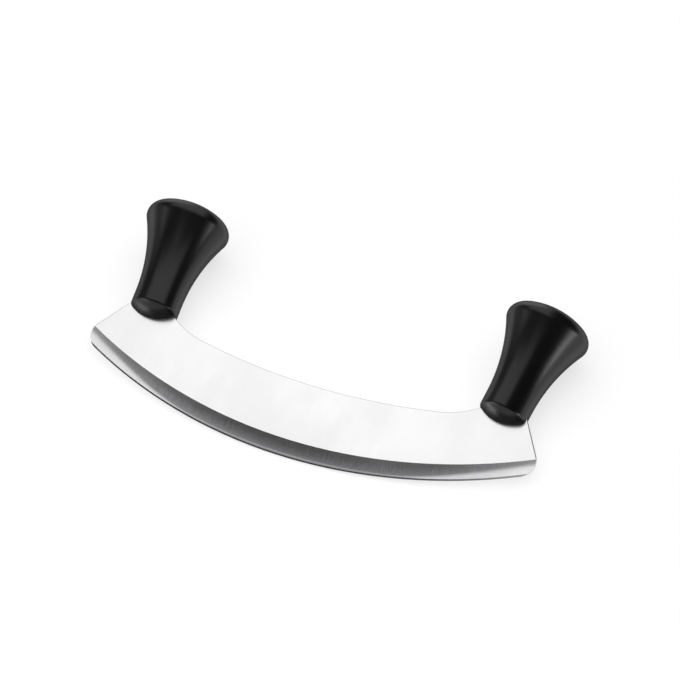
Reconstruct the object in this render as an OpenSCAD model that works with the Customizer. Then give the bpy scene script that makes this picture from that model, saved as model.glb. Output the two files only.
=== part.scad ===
// Two-handled rocking knife, lying on a table as it is put down

/* [Blade] */
// Length of the blade from tip to tip
blade_span = 221; // [195:1:245]
// Height of the blade at its middle
blade_h = 36.8; // [32:0.1:40]
// Thickness of the blade
blade_t = 2; // [1.5:0.1:3]
// Radius of the curved cutting edge
edge_r = 245; // [225:1:275]
// Radius of the hollow top edge
top_r = 314; // [280:1:380]
// Radius of the rounded tips
tip_r = 8; // [5:0.5:10]
// Radius of the fillet from the top edge up to a handle
shoulder_r = 40; // [28:1:48]

/* [Grinding] */
// Height of the ground band at the middle of the blade
grind_h = 8.3; // [6:0.1:10]
// Radius of the line where the ground band starts
grind_r = 248.5; // [240:0.5:265]
// Radius of the grinding wheel that hollows the band
wheel_r = 75; // [60:1:150]
// Thickness that the ground band runs out to at the cutting edge
grind_out_t = 0.6; // [0.5:0.05:0.8]
// Thickness left on the sharpened edge
edge_t = 0.2; // [0.15:0.01:0.3]
// Angle of each side of the sharpened edge
edge_angle = 20; // [16:1:25]

/* [Tangs] */
// Width of each tang
tang_w = 13; // [10:0.5:14]
// Length of each tang above the handle's lower rim
tang_len = 35; // [32:0.5:38]
// Radius of the holes that lock the core to the tang
lock_r = 3; // [2:0.1:4]
// Height of the lower locking hole above the handle's lower rim
lock_low = 10; // [9:0.5:12]
// Distance between the two locking holes
lock_step = 14; // [10:0.5:15]
// Depth pressed into each side of the blade where a handle covers it
seat_t = 0.1; // [0.05:0.01:0.2]
// Distance that the blade's outer shoulder stays inside the handle's neck
shoulder_in = 0.15; // [0.1:0.05:0.4]
// Height above the handle's lower rim at which the outer shoulder ends
shoulder_rise = 1.9; // [0.5:0.1:2.4]
// Distance inside the handle's lower rim at which the fillet ends
fillet_in = 2; // [1:0.1:4]

/* [Handles] */
// Distance of each handle's lower rim, at its middle, from the blade's tip
handle_in = 23.3; // [20:0.1:28]
// Height of the handles' lower rims above the cutting edge
handle_z = 50.6; // [49:0.1:54]
// Angle by which each handle leans outward
handle_lean = 4.1; // [2:0.1:7]
// Radius of the neck
neck_r = 11.3; // [10.5:0.1:12.5]
// Length of the straight neck above the lower rim
neck_len = 6; // [4:0.5:10]
// Radius of the hollow flare from the neck to the head
flare_r = 89; // [75:0.5:95]
// Radius of the head at its widest
head_r = 20; // [19:0.1:22]
// Radius of the head's rounded rim
rim_r = 4.8; // [4:0.1:6]
// Radius of the domed top
dome_r = 36; // [32:1:60]
// Radius of the domed lower end
foot_r = 17.5; // [15:0.5:22]
// Radius of the lower rim's rounding
foot_rim_r = 1.2; // [0.8:0.1:1.6]

/* [Cores] */
// Thickness of the outer grip over the core
grip_t = 3; // [2.6:0.1:3.4]
// Height of the core's lower end above the handle's lower rim
core_low = 3; // [2:0.1:5]
// Width of the grooves that key the grip to the core
key_w = 3; // [2:0.1:4]
// Depth of the key grooves
key_t = 1; // [0.6:0.1:1.2]
// Height of the lowest key groove above the core's lower end
key_low = 8; // [6:0.5:10]
// Distance from one key groove to the next
key_step = 8; // [6:0.5:9]
// Number of key grooves
key_count = 3; // [1:1:3]

/* [Hidden] */
$fn = 96;
// Facets of the blade's long curves
long_fn = 720;
// Overshoot of a cutting shape past the face that it cuts
past = 1;
// Overlap of each rounding with the arcs and lines that it runs into
blend = 0.001;

// Handle outline: [radius, distance above the lower rim along the handle's axis]
flare_c = [neck_r + flare_r, neck_len];
flare_end = acos((flare_c.x - head_r + rim_r) / (flare_r + rim_r));
rim_c = flare_c + (flare_r + rim_r) * [-cos(flare_end), sin(flare_end)];
dome_start = acos(rim_c.x / (dome_r - rim_r));
dome_c = [0, rim_c.y - (dome_r - rim_r) * sin(dome_start)];
foot_rim_c = [neck_r - foot_rim_r, 0];
foot_c = [0, sqrt(pow(foot_r - foot_rim_r, 2) - pow(foot_rim_c.x, 2))];

// Blade seen square on: [distance from the middle, height above the cutting edge]
handle_x = blade_span / 2 - handle_in;
across = [cos(handle_lean), -sin(handle_lean)];
along = [sin(handle_lean), cos(handle_lean)];
edge_c = [0, edge_r];
top_c = [0, blade_h + top_r];
inner_corner = [handle_x, handle_z] - (neck_r - fillet_in) * across;
outer_corner = [handle_x, handle_z] + (neck_r - shoulder_in) * across + shoulder_rise * along;
// The fillet runs through the inner corner and meets the top edge without a kink
corner_way = inner_corner - top_c;
corner_far = norm(corner_way);
fillet_far = top_r - shoulder_r;
fillet_along = (pow(fillet_far, 2) - pow(shoulder_r, 2) + pow(corner_far, 2)) / (2 * corner_far);
fillet_across = sqrt(pow(fillet_far, 2) - pow(fillet_along, 2));
fillet_c = top_c + (fillet_along * corner_way + fillet_across * [corner_way.y, -corner_way.x]) / corner_far;
fillet_start = top_c + top_r * (fillet_c - top_c) / fillet_far;
// The tip's circle touches the cutting edge, and the end line touches that circle
tip_x = blade_span / 2 - tip_r;
tip_c = [tip_x, edge_r - sqrt(pow(edge_r - tip_r, 2) - pow(tip_x, 2))];
end_way = tip_c - outer_corner;
end_lean = asin(tip_r / norm(end_way)) + atan2(end_way.x, -end_way.y);
end_foot = tip_c + tip_r * [cos(end_lean), sin(end_lean)];
tip_way = (tip_c - edge_c) / norm(tip_c - edge_c);

// Ground band: [distance from the band's centre, distance from the middle plane]
grind_start = [grind_r, blade_t / 2];
grind_way = [grind_h, (grind_out_t - blade_t) / 2];
wheel_far = sqrt(pow(wheel_r / norm(grind_way), 2) - 1 / 4);
wheel_c = grind_start + grind_way / 2 + wheel_far * [-grind_way.y, grind_way.x];
// Height and half thickness at which the sharpened edge meets the hollow of the band
edge_slope = tan(edge_angle);
wheel_in = [grind_r + grind_h, edge_t / 2] - wheel_c;
edge_long = 1 + pow(edge_slope, 2);
sharp_part = (wheel_in.x - edge_slope * wheel_in.y) / edge_long;
sharp_h = sharp_part - sqrt(pow(sharp_part, 2) - (wheel_in * wheel_in - pow(wheel_r, 2)) / edge_long);
sharp_y = edge_t / 2 + sharp_h * edge_slope;

// Rest: the knife lies on the sharpened edge's shoulder and on both heads' rims
head_z = handle_z + rim_c.y * cos(handle_lean);
head_reach = head_z - sharp_h;
head_flat = pow(rim_c.x * cos(handle_lean), 2) + pow(head_reach, 2);
function rest_sin(drop) =
    let (part = head_reach * drop / head_flat)
        sqrt(pow(part, 2) - (pow(drop, 2) - pow(rim_c.x, 2)) / head_flat) - part;
function rest_tilt(turns, tilt) =
    turns == 0 ? tilt : rest_tilt(turns - 1, asin(rest_sin(sharp_y * cos(tilt) - rim_r)));
tilt = rest_tilt(8, 12);
lift = sharp_y * cos(tilt) - sharp_h * sin(tilt);
// Farthest point of the lying domes, nearest point of the edge, and the middle between them
dome_z = handle_z + dome_c.y * cos(handle_lean);
far_y = dome_z * cos(tilt) + dome_r;
near_y = -edge_t / 2 * sin(tilt);
mid_y = (far_y + near_y) / 2;

// Lays the upright knife down, with its handles towards +Y
module lie() {
    translate([0, -mid_y, lift])
        rotate([tilt - 90, 0, 0])
            children();
}

// Draws a shape at the right handle, or mirrored at the left one
module on_side(side) {
    mirror([side < 0 ? 1 : 0, 0, 0])
        children();
}

function mirrored(p) = [-p.x, p.y];

// Corners of the blade's right half: the rounded and hollow stretches are cut from them
right_corners = [
    [fillet_start.x, -past],
    edge_c + (edge_r + past) * tip_way,
    tip_c,
    end_foot,
    outer_corner,
    inner_corner,
    fillet_start
];
left_corners = [for (i = [len(right_corners) - 1 : -1 : 0]) mirrored(right_corners[i])];

// Outline of the blade without its tangs, symmetrical about the middle
module blade_outline() {
    difference() {
        intersection() {
            polygon(concat(right_corners, left_corners));
            translate(edge_c)
                circle(edge_r, $fn = long_fn);
        }
        intersection() {
            translate(top_c)
                circle(top_r, $fn = long_fn);
            square([2 * fillet_start.x, 4 * blade_h], center = true);
        }
        for (side = [-1, 1])
            translate([side * fillet_c.x, fillet_c.y])
                circle(shoulder_r + blend, $fn = long_fn);
    }
    for (side = [-1, 1])
        translate([side * tip_c.x, tip_c.y])
            circle(tip_r + blend);
}

// Flat tang that stands inside the right handle, with its locking holes
module tang() {
    round_r = tang_w / 2;
    translate([handle_x, handle_z])
        rotate(-handle_lean)
            difference() {
                union() {
                    translate([-round_r, -round_r])
                        square([tang_w, tang_len]);
                    translate([0, tang_len - round_r])
                        circle(round_r);
                }
                for (hole = [0, 1])
                    translate([0, lock_low + hole * lock_step])
                        circle(lock_r);
            }
}

// Turns a flat outline up into the blade's plane
module stand() {
    rotate([90, 0, 0])
        children();
}

// Disc with its rim hollowed by the grinding wheel from both sides
module ground_disc() {
    translate([0, 0, grind_h + grind_r])
        stand()
            rotate_extrude($fn = long_fn)
                difference() {
                    translate([0, -blade_t])
                        square([grind_r + grind_h + past, 2 * blade_t]);
                    for (side = [-1, 1])
                        translate([wheel_c.x, side * wheel_c.y])
                            circle(wheel_r, $fn = long_fn);
                }
}

// Disc with a sharp rim, as thick at its cutting edge as the edge is left
module sharp_disc() {
    over_t = blade_t / 2 + past;
    over_r = edge_r - (over_t - edge_t / 2) / edge_slope;
    sharp_r = edge_r + edge_t / 2 / edge_slope;
    translate([0, 0, edge_r])
        stand()
            rotate_extrude($fn = long_fn)
                polygon([[0, -over_t], [over_r, -over_t], [sharp_r, 0], [over_r, over_t], [0, over_t]]);
}

// Steel plate with its ground band and sharpened edge, before the handles' seats are pressed in
module plate() {
    intersection() {
        stand()
            linear_extrude(blade_t, center = true) {
                blade_outline();
                tang();
                mirror([1, 0])
                    tang();
            }
        ground_disc();
        sharp_disc();
    }
}

// Half outline of the handle above height low, moved inward by inset
module body_outline(inset, low) {
    r = neck_r - inset;
    flare_top = flare_c + (flare_r + inset) * [-cos(flare_end), sin(flare_end)];
    dome_edge = dome_c + (dome_r - inset) * [cos(dome_start), sin(dome_start)];
    translate([0, low])
        square([r, neck_len - low]);
    difference() {
        polygon([[0, neck_len], [r, neck_len], flare_top, [0, flare_top.y]]);
        translate(flare_c)
            circle(flare_r + inset, $fn = long_fn);
    }
    polygon([[0, flare_top.y], flare_top, rim_c, dome_edge, [0, dome_edge.y]]);
    translate(rim_c)
        circle(rim_r - inset + blend);
    intersection() {
        translate(dome_c)
            circle(dome_r - inset, $fn = long_fn);
        polygon([dome_c, 2 * dome_edge - dome_c, [0, dome_c.y + 2 * dome_r]]);
    }
}

// Half outline of the domed lower end, with its rounded rim
module foot_outline() {
    foot_edge = foot_c + foot_r / (foot_r - foot_rim_r) * (foot_rim_c - foot_c);
    translate(foot_rim_c)
        circle(foot_rim_r + blend);
    intersection() {
        translate(foot_c)
            circle(foot_r, $fn = long_fn);
        polygon([[0, -foot_r], 2 * foot_edge - foot_c, foot_c]);
    }
}

// Places an upright shape on the right handle's leaning axis
module on_axis() {
    translate([handle_x, 0, handle_z])
        rotate([0, handle_lean, 0])
            children();
}

// Right handle's whole outer form
module handle() {
    on_axis()
        rotate_extrude() {
            body_outline(0, 0);
            foot_outline();
        }
}

// Right core's whole form, with its key grooves
module core_form() {
    on_axis()
        rotate_extrude()
            difference() {
                body_outline(grip_t, core_low);
                for (key = [0 : key_count - 1])
                    key_groove(core_low + key_low + key * key_step);
            }
}

// Cut-out for a key groove whose lower side is at height low above the lower rim
module key_groove(low) {
    rise = max(low - neck_len, 0);
    surface = flare_c.x - sqrt(pow(flare_r + grip_t, 2) - pow(rise, 2));
    translate([surface - key_t, low])
        square([head_r, key_w]);
}

module blade() {
    color("gainsboro")
        difference() {
            plate();
            for (side = [-1, 1])
                on_side(side)
                    difference() {
                        handle();
                        cube([blade_span, blade_t - 2 * seat_t, 4 * handle_z], center = true);
                    }
        }
}

module core(side) {
    color("dimgray")
        difference() {
            on_side(side)
                core_form();
            blade();
        }
}

module grip(side) {
    color([0.09, 0.09, 0.1])
        difference() {
            on_side(side)
                difference() {
                    handle();
                    core_form();
                }
            blade();
        }
}

lie() blade();
lie() core(-1);  // left_core
lie() core(1);  // right_core
lie() grip(-1);  // left_grip
lie() grip(1);  // right_grip
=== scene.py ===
# A mezzaluna as it is put down: its solids get their materials, and a floor, lamps and a camera
# are set round them as in the photograph. Lengths are in metres, and those of the blade's surface
# in millimetres.
import math

import bpy
from mathutils import Matrix, Vector


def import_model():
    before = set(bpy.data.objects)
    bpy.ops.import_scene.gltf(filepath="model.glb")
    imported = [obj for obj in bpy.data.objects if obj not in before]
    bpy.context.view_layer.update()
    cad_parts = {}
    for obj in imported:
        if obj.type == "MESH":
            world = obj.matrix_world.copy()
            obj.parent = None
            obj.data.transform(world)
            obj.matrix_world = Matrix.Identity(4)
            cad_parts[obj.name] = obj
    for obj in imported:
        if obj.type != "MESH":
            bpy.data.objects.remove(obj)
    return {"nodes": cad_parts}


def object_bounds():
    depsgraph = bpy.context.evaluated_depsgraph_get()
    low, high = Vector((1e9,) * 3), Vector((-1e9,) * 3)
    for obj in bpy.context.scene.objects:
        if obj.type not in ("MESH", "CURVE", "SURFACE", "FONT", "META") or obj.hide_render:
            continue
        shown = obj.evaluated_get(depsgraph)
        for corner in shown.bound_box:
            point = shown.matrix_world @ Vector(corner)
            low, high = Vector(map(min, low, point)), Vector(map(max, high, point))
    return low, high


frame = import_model()
cad_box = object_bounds()
nodes = frame["nodes"]
scene = bpy.context.scene

MM_IN_M = 1000
# How the blade lies: turned up by TILT, with the middle of its edge at y = -MID_Y and z = LIFT, in mm
TILT = math.radians(11.7242)
LIFT = 0.190368
MID_Y = 51.6516
# Directions in the frame: along the blade from its edge to its handles, and square to its faces
TO_HANDLES = (0, math.cos(TILT), math.sin(TILT))
SQUARE = (0, -math.sin(TILT), math.cos(TILT))

# Ground band: outside an arc round a centre straight above the middle of the cutting edge
BAND_CENTRE = 256.8
BAND_R = 248.5
BAND_SOFT = 0.12
# Top of the blade: a long arc, and from HOLLOW_START outward the fillets under the handles
TOP_CENTRE = 350.8
TOP_R = 314.0
HOLLOW_X = 52.08
HOLLOW_Z = 81.795
HOLLOW_R = 40.0
HOLLOW_START = 59.68
# Ends of the blade: a straight line through a point, and the direction square to it
END_X = 109.144
END_Z = 35.768
END_OUT = (0.8305, 0.557)

# Rounded borders of the faces: where they begin and are full, in from the blade's outline
TOP_BORDER = (0.50, 0.15)
END_BORDER = (0.60, 0.20)
# Share by which the normal leans outward there
TOP_LEAN = 0.2
END_LEAN = 0.45
# How square to the blade's plane a spot is where the rim begins and is full
RIM = (0.75, 0.5)

# Faces: painted shade darkens them outward from the blade's middle
FACE_DARKENS = (30.0, 106.0)
# Ground band: painted shade darkens it downward, and its painted pale reflection low down widens outward
# from the blade's middle
BAND_DARKENS = (BAND_R + 1.0, BAND_R + 6.5)
PAINTED_REFLECTION_WIDENS = (48.0, 113.0)
PAINTED_REFLECTION_BEGINS = (BAND_R + 6.2, BAND_R + 1.0)
PAINTED_REFLECTION_FULL = (BAND_R + 8.0, BAND_R + 3.4)
# Where the painted dark reflection along the sharpened edge begins and is full
SHARP_BEGINS = (BAND_R + 6.9, BAND_R + 7.4)

# Grain of the steel: noise steps for each millimetre, across and along its lines and in its clouds
FACE_STEPS = (2.2, 0.10)
BAND_STEPS = (2.4, 0.22)
CLOUD_STEPS = (0.036, 0.036, 0.022)
FACE_BUMP = 0.05
BAND_BUMP = 0.09
STEEL_RELIEF = 0.00002
# Noise values between which each of them goes from one colour to the other
CLOUD_CONTRAST = (0.35, 0.68)
LINE_CONTRAST = (0.3, 0.75)
STREAK_CONTRAST = (0.3, 0.72)

# Colours of the steel, and the share of those that only tint what is under them
CLOUD_LOW = (0.81, 0.81, 0.82)
CLOUD_HIGH = (0.895, 0.895, 0.90)
# Painted shade that darkens the faces towards the blade's ends, and its share
END_PAINTED_SHADE = (0.76, 0.76, 0.77)
END_PAINTED_SHADE_SHARE = 0.5
LINE = (0.68, 0.68, 0.69)
LINE_SHARE = 0.10
# Ground band: painted shade, grey above and darker below, each between dark and pale grind streaks
UPPER_DARK = (0.39, 0.39, 0.40)
UPPER_PALE = (0.52, 0.52, 0.53)
LOWER_DARK = (0.25, 0.25, 0.26)
LOWER_PALE = (0.34, 0.34, 0.35)
# Painted reflection, pale low down on the band near the blade's ends
LOW_END_PAINTED_REFLECTION = (0.82, 0.82, 0.83)
# Painted dark reflection along the sharpened edge, and its share
SHARPENED_PAINTED_SHADE = (0.26, 0.26, 0.27)
SHARPENED_PAINTED_SHADE_SHARE = 0.85
# Painted shade on the rounded top border, and its share
BORDER_PAINTED_SHADE = (0.50, 0.50, 0.51)
BORDER_PAINTED_SHADE_SHARE = 0.75
RIM_GREY = (0.62, 0.62, 0.63)
# Roughness of the steel, and what its clouds, its lines and its rim add
STEEL_ROUGH = 0.13
CLOUDS_ADD = 0.10
LINES_ADD = 0.05
RIM_ADDS = 0.16

# Plastic: noise steps for each metre, height of its grain, and how far its colour goes both ways
GRAIN_STEPS = 2600.0
BROAD_STEPS = 60.0
PLASTIC_RELIEF = 0.00003
DARKER = 0.85
PALER = 1.2
# It is duller where it turns away: from and to which facing, and by how much
TURNS_AWAY = (0.35, 0.85)
TURNED_ADDS = 0.5


# Small helpers for shader trees

class Tree:
    """Adds nodes to a shader tree, each from its type, its inputs and its settings."""

    def __init__(self, tree):
        self.tree = tree
        tree.nodes.clear()

    def feed(self, socket, value):
        if isinstance(value, bpy.types.NodeSocket):
            self.tree.links.new(value, socket)
        else:
            socket.default_value = value

    def add(self, kind, inputs=None, **settings):
        node = self.tree.nodes.new(kind)
        for key, value in settings.items():
            setattr(node, key, value)
        for key, value in (inputs or {}).items():
            self.feed(node.inputs[key], value)
        return node

    def math(self, operation, a, b=0.0):
        return self.add("ShaderNodeMath", {0: a, 1: b}, operation=operation).outputs[0]

    def vector(self, operation, inputs):
        return self.add("ShaderNodeVectorMath", inputs, operation=operation).outputs

    def combine(self, x, y, z=0.0):
        return self.add("ShaderNodeCombineXYZ", {0: x, 1: y, 2: z}).outputs[0]

    def length(self, a, b):
        squares = self.math("ADD", self.math("MULTIPLY", a, a), self.math("MULTIPLY", b, b))
        return self.math("SQRT", squares)

    def step(self, value, low, high, out_low=0.0, out_high=1.0):
        """Passes softly from one output to the other while the value goes from low to high."""
        return self.add("ShaderNodeMapRange", {
            "Value": value, "From Min": low, "From Max": high,
            "To Min": out_low, "To Max": out_high}, interpolation_type="SMOOTHSTEP").outputs["Result"]

    def blend(self, factor, a, b):
        """Mixes two numbers."""
        return self.add("ShaderNodeMix", {0: factor, 2: a, 3: b}).outputs[0]

    def mix(self, factor, a, b):
        """Mixes two colours."""
        node = self.add("ShaderNodeMix", {"Factor": factor}, data_type="RGBA")
        for socket, value in ((node.inputs[6], a), (node.inputs[7], b)):
            self.feed(socket, (*value, 1.0) if isinstance(value, tuple) else value)
        return node.outputs[2]

    def noise(self, vector, scale, detail, roughness):
        return self.add("ShaderNodeTexNoise", {
            "Vector": vector, "Scale": scale, "Detail": detail,
            "Roughness": roughness}).outputs["Fac"]


def material(name):
    made = bpy.data.materials.new(name)
    made.use_nodes = True
    return made, Tree(made.node_tree)


def dress(node, made):
    mesh = nodes[node].data
    mesh.materials.clear()
    mesh.materials.append(made)


# Steel

def stand_upright(t):
    """The place on the blade as it stands upright: x along it, z up from its cutting edge."""
    place = t.add("ShaderNodeTexCoord").outputs["Object"]
    along_y = MID_Y * math.sin(TILT) + LIFT * math.cos(TILT)
    along_z = MID_Y * math.cos(TILT) - LIFT * math.sin(TILT)
    return t.add("ShaderNodeMapping", {
        "Vector": place, "Scale": (MM_IN_M, MM_IN_M, MM_IN_M),
        "Rotation": (math.pi / 2 - TILT, 0, 0), "Location": (0, along_y, along_z)}).outputs[0]


def distance_to_top(t, x, z, out):
    """How far a spot is inside the blade's top, from its arc or from a fillet."""
    to_arc = t.math("SUBTRACT", t.length(x, t.math("SUBTRACT", z, TOP_CENTRE)), TOP_R)
    from_hollow = t.length(t.math("SUBTRACT", out, HOLLOW_X), t.math("SUBTRACT", z, HOLLOW_Z))
    to_hollow = t.math("SUBTRACT", from_hollow, HOLLOW_R)
    return t.blend(t.math("GREATER_THAN", out, HOLLOW_START), to_arc, to_hollow)


def distance_to_end(t, z, out):
    """How far a spot is inside the nearer end of the blade."""
    sideways = t.math("MULTIPLY", t.math("SUBTRACT", END_X, out), END_OUT[0])
    upward = t.math("MULTIPLY", t.math("SUBTRACT", z, END_Z), END_OUT[1])
    return t.math("SUBTRACT", sideways, upward)


def border_lean(t, x, top_border, end_border):
    """What is added to the normal where the faces' borders are rounded."""
    end_way = t.combine(t.math("MULTIPLY", t.math("SIGN", x), END_OUT[0]),
                        END_OUT[1] * TO_HANDLES[1], END_OUT[1] * TO_HANDLES[2])
    at_top = t.vector("SCALE", {0: TO_HANDLES, "Scale": t.math("MULTIPLY", top_border, TOP_LEAN)})[0]
    at_end = t.math("MULTIPLY", end_border, END_LEAN)
    return t.vector("MULTIPLY_ADD", {0: end_way, 1: at_end, 2: at_top})[0]


def face_grain_and_painted_shade(t, clouds, face_lines, out):
    """Pale, with soft clouds and fine lines, and painted shade that makes it a little darker towards the
    blade's ends.
    """
    pale = t.mix(t.step(clouds, *CLOUD_CONTRAST), CLOUD_LOW, CLOUD_HIGH)
    # Painted shade towards the ends
    pale = t.mix(t.step(out, *FACE_DARKENS, 0.0, END_PAINTED_SHADE_SHARE), pale, END_PAINTED_SHADE)
    return t.mix(t.step(face_lines, *LINE_CONTRAST, 0.0, LINE_SHARE), pale, LINE)


def band_streaks_and_painted_light(t, band_lines, far, out):
    """Painted shade darkens it, with radial lines, a painted pale reflection low down near the ends, and a
    painted dark reflection where it is sharpened.
    """
    streaks = t.step(band_lines, *STREAK_CONTRAST)
    upper = t.mix(streaks, UPPER_DARK, UPPER_PALE)
    lower = t.mix(streaks, LOWER_DARK, LOWER_PALE)
    # Painted shade: the band darkens downward
    dark = t.mix(t.step(far, *BAND_DARKENS), upper, lower)
    # Painted pale reflection low down near the ends
    pale_begins = t.step(out, *PAINTED_REFLECTION_WIDENS, *PAINTED_REFLECTION_BEGINS)
    pale_full = t.step(out, *PAINTED_REFLECTION_WIDENS, *PAINTED_REFLECTION_FULL)
    ground = t.mix(t.step(far, pale_begins, pale_full), dark, LOW_END_PAINTED_REFLECTION)
    # Painted dark reflection where it is sharpened
    return t.mix(t.step(far, *SHARP_BEGINS, 0.0, SHARPENED_PAINTED_SHADE_SHARE), ground, SHARPENED_PAINTED_SHADE)


def steel():
    made, t = material("steel")
    upright = stand_upright(t)
    split = t.add("ShaderNodeSeparateXYZ", {0: upright})
    x, z = split.outputs["X"], split.outputs["Z"]
    out = t.math("ABSOLUTE", x)
    # Polar places round the ground band's centre
    down = t.math("SUBTRACT", BAND_CENTRE, z)
    far = t.length(x, down)
    turn = t.math("MULTIPLY", t.math("ARCTAN2", x, down), BAND_R)
    band = t.step(far, BAND_R - BAND_SOFT, BAND_R + BAND_SOFT)
    # The rim is what faces along the blade's plane, as its faces and its band don't
    normal = t.add("ShaderNodeTexCoord").outputs["Normal"]
    across = t.vector("DOT_PRODUCT", {0: normal, 1: SQUARE})["Value"]
    rim = t.step(t.math("ABSOLUTE", across), *RIM)
    top_border = t.step(distance_to_top(t, x, z, out), *TOP_BORDER)
    end_border = t.step(distance_to_end(t, z, out), *END_BORDER)
    # Fine lines: across the blade on its faces, and outward from the centre on its band
    face_at = t.combine(t.math("MULTIPLY", x, FACE_STEPS[0]), t.math("MULTIPLY", z, FACE_STEPS[1]))
    band_at = t.combine(t.math("MULTIPLY", turn, BAND_STEPS[0]), t.math("MULTIPLY", far, BAND_STEPS[1]))
    cloud_at = t.vector("MULTIPLY", {0: upright, 1: CLOUD_STEPS})[0]
    face_lines = t.noise(face_at, scale=1.0, detail=3.0, roughness=0.6)
    band_lines = t.noise(band_at, scale=1.0, detail=3.0, roughness=0.65)
    clouds = t.noise(cloud_at, scale=1.0, detail=2.0, roughness=0.5)
    # Colour
    colour = t.mix(band, face_grain_and_painted_shade(t, clouds, face_lines, out), band_streaks_and_painted_light(t, band_lines, far, out))
    # Painted shade greys the rounded top border
    colour = t.mix(t.math("MULTIPLY", top_border, BORDER_PAINTED_SHADE_SHARE), colour, BORDER_PAINTED_SHADE)
    colour = t.mix(rim, colour, RIM_GREY)
    # Gloss
    rough = t.math("ADD", t.math("MULTIPLY", clouds, CLOUDS_ADD), t.math("MULTIPLY", face_lines, LINES_ADD))
    rough = t.math("ADD", rough, t.math("MULTIPLY", rim, RIM_ADDS))
    rough = t.math("ADD", rough, STEEL_ROUGH)
    # Relief: the lines' depth, and the borders' lean
    lines = t.blend(band, face_lines, band_lines)
    depth = t.blend(band, FACE_BUMP, BAND_BUMP)
    bump = t.add("ShaderNodeBump", {
        "Strength": depth, "Distance": STEEL_RELIEF, "Height": lines}).outputs[0]
    leaned = t.vector("ADD", {0: bump, 1: border_lean(t, x, top_border, end_border)})[0]
    shader = t.add("ShaderNodeBsdfPrincipled", {
        "Base Color": colour, "Metallic": 1.0, "Roughness": rough,
        "Normal": t.vector("NORMALIZE", {0: leaned})[0]})
    t.add("ShaderNodeOutputMaterial", {"Surface": shader.outputs[0]})
    return made


# Moulded plastic

def plastic(name, base, rough_low, rough_high, bumps):
    """Plastic with a fine grain, a broad change of gloss and colour, and duller outlines."""
    made, t = material(name)
    place = t.add("ShaderNodeTexCoord").outputs["Object"]
    fine = t.noise(place, scale=GRAIN_STEPS, detail=2.0, roughness=0.6)
    broad = t.noise(place, scale=BROAD_STEPS, detail=3.0, roughness=0.5)
    darker = tuple(channel * DARKER for channel in base)
    paler = tuple(channel * PALER for channel in base)
    facing = t.add("ShaderNodeLayerWeight", {"Blend": 0.5}).outputs["Facing"]
    rough = t.math("ADD", t.step(broad, 0.3, 0.7, rough_low, rough_high),
                   t.step(facing, *TURNS_AWAY, 0.0, TURNED_ADDS))
    bump = t.add("ShaderNodeBump", {
        "Strength": bumps, "Distance": PLASTIC_RELIEF, "Height": fine}).outputs[0]
    shader = t.add("ShaderNodeBsdfPrincipled", {
        "Base Color": t.mix(broad, darker, paler), "Roughness": rough, "IOR": 1.44, "Normal": bump})
    t.add("ShaderNodeOutputMaterial", {"Surface": shader.outputs[0]})
    return made


dress("blade", steel())
black = plastic("black_plastic", base=(0.0018, 0.0018, 0.0019), rough_low=0.27, rough_high=0.31, bumps=0.10)
inner = plastic("core_plastic", base=(0.10, 0.10, 0.10), rough_low=0.45, rough_high=0.55, bumps=0.15)
for side in ("left", "right"):
    dress(side + "_grip", black)
    dress(side + "_core", inner)


# Floor

def floor(half, grey, own_white):
    """A white square at the knife's lowest point, which is under the feet of its handles."""
    mesh = bpy.data.meshes.new("floor")
    low = cad_box[0][2]
    corners = [(-half, -half, low), (half, -half, low), (half, half, low), (-half, half, low)]
    mesh.from_pydata(corners, [], [(0, 1, 2, 3)])
    obj = bpy.data.objects.new("floor", mesh)
    scene.collection.objects.link(obj)
    made, t = material("floor")
    # White of its own keeps the background white, and the grey that the fill lights holds the shadow
    path = t.add("ShaderNodeLightPath").outputs
    seen = t.math("MAXIMUM", path["Is Camera Ray"],
                  t.math("MAXIMUM", path["Is Glossy Ray"], path["Is Transmission Ray"]))
    paint = t.add("ShaderNodeBsdfDiffuse", {"Color": (grey, grey, grey, 1)})
    glow = t.add("ShaderNodeEmission", {
        "Color": (1, 1, 1, 1), "Strength": t.math("MULTIPLY", seen, own_white)})
    both = t.add("ShaderNodeAddShader", {0: paint.outputs[0], 1: glow.outputs[0]})
    t.add("ShaderNodeOutputMaterial", {"Surface": both.outputs[0]})
    mesh.materials.append(made)


floor(half=6.0, grey=0.38, own_white=0.68)


# Light

def softbox(name, corner, side, rise, radiance, mirrored=True, spread=False):
    """A rectangle of light from one corner and its two edges.

    A mirrored one shows in gloss, and a spread one lights what is dull, such as the floor."""
    side, rise = Vector(side), Vector(rise)
    light = bpy.data.lights.new(name, "AREA")
    light.shape = "RECTANGLE"
    light.size, light.size_y = side.length, rise.length
    light.energy = radiance * math.pi * side.length * rise.length
    obj = bpy.data.objects.new(name, light)
    x, y = side.normalized(), rise.normalized()
    turned = Matrix((x, y, x.cross(y))).transposed().to_4x4()
    turned.translation = Vector(corner) + (side + rise) / 2
    obj.matrix_world = turned
    obj.visible_glossy = mirrored
    obj.visible_diffuse = spread
    obj.visible_camera = False
    scene.collection.objects.link(obj)


def wall(name, azimuth, distance, width, low, high, radiance):
    """An upright softbox that faces the knife, at an azimuth from +Y towards +X."""
    turn = math.radians(azimuth)
    way = Vector((math.sin(turn), math.cos(turn), 0))
    across = Vector((-way.y, way.x, 0)) * width
    corner = way * distance - across / 2 + Vector((0, 0, low))
    softbox(name, corner, across, (0, 0, high - low), radiance)


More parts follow.
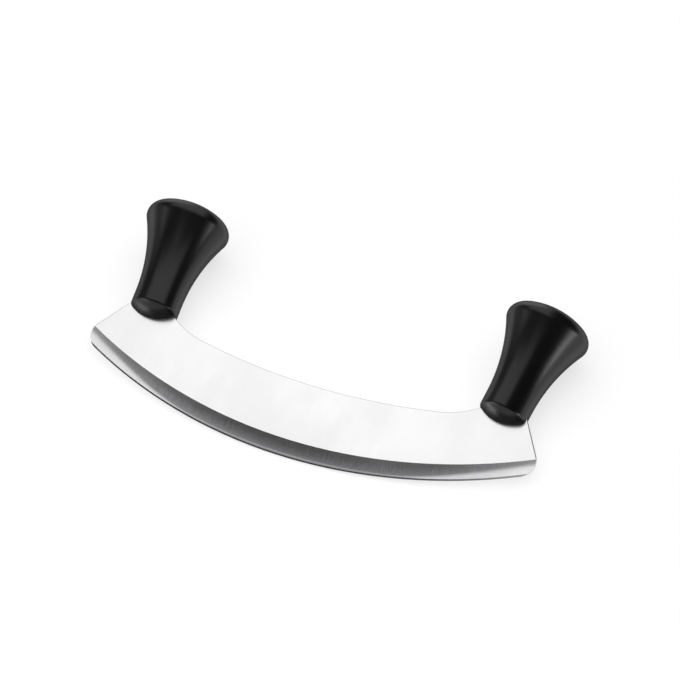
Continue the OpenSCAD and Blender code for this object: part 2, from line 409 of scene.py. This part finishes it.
# At the photograph's angle the blade's faces mirror the key
softbox("key", corner=(-0.48, -0.027, 0.50), side=(0.60, 0, -0.30), rise=(0, 0.62, 0), radiance=1.10)
wall("back_left", azimuth=-33, distance=1.2, width=1.1, low=0.0, high=0.95, radiance=1.4)
wall("front_left", azimuth=-142, distance=1.1, width=0.60, low=0.0, high=0.36, radiance=4.4)
wall("left_high", azimuth=-122, distance=1.2, width=0.80, low=0.48, high=0.84, radiance=1.2)
wall("right_low", azimuth=101, distance=0.32, width=0.17, low=0.0, high=0.05, radiance=4.6)
wall("right_far", azimuth=104, distance=1.2, width=0.35, low=0.08, high=0.28, radiance=1.5)
# Dim ones, for the steel to mirror in views from other sides
wall("front_wide", azimuth=180, distance=1.2, width=1.1, low=0.03, high=0.95, radiance=0.22)
wall("left_wide", azimuth=-96, distance=1.2, width=0.55, low=0.04, high=0.80, radiance=0.32)
softbox("top_front", corner=(-0.30, -0.80, 1.4), side=(0.6, 0, 0), rise=(0, 0.58, 0), radiance=0.4)
# The fill alone lights the floor, with the world, and makes the soft shadow
softbox("fill", corner=(-3.0, -3.0, 2.4), side=(6.0, 0, 0), rise=(0, 6.0, 0), radiance=1.25,
        mirrored=False, spread=True)


def world(strength):
    made = bpy.data.worlds.new("studio")
    scene.world = made
    made.use_nodes = True
    t = Tree(made.node_tree)
    back = t.add("ShaderNodeBackground", {"Color": (1, 1, 1, 1), "Strength": strength})
    t.add("ShaderNodeOutputWorld", {"Surface": back.outputs[0]})


world(strength=0.06)


# Camera, at the photograph's angle

SENSOR = 36.0
PICTURE_PIXELS = 680.0
FOCAL_PIXELS = 4000.0
EYE = Vector((0.598142, -0.986126, 1.405278))
RIGHT = Vector((0.905237, 0.415093, -0.090796)).normalized()
UP = Vector((-0.268958, 0.725192, 0.633844)).normalized()


def camera():
    data = bpy.data.cameras.new("camera")
    data.sensor_fit = "HORIZONTAL"
    data.sensor_width = SENSOR
    data.lens = FOCAL_PIXELS / PICTURE_PIXELS * SENSOR
    data.clip_start, data.clip_end = 0.05, 100.0
    obj = bpy.data.objects.new("camera", data)
    turned = Matrix((RIGHT, UP, RIGHT.cross(UP))).transposed().to_4x4()
    turned.translation = EYE
    obj.matrix_world = turned
    scene.collection.objects.link(obj)
    scene.camera = obj


camera()
scene.view_settings.view_transform = "Standard"
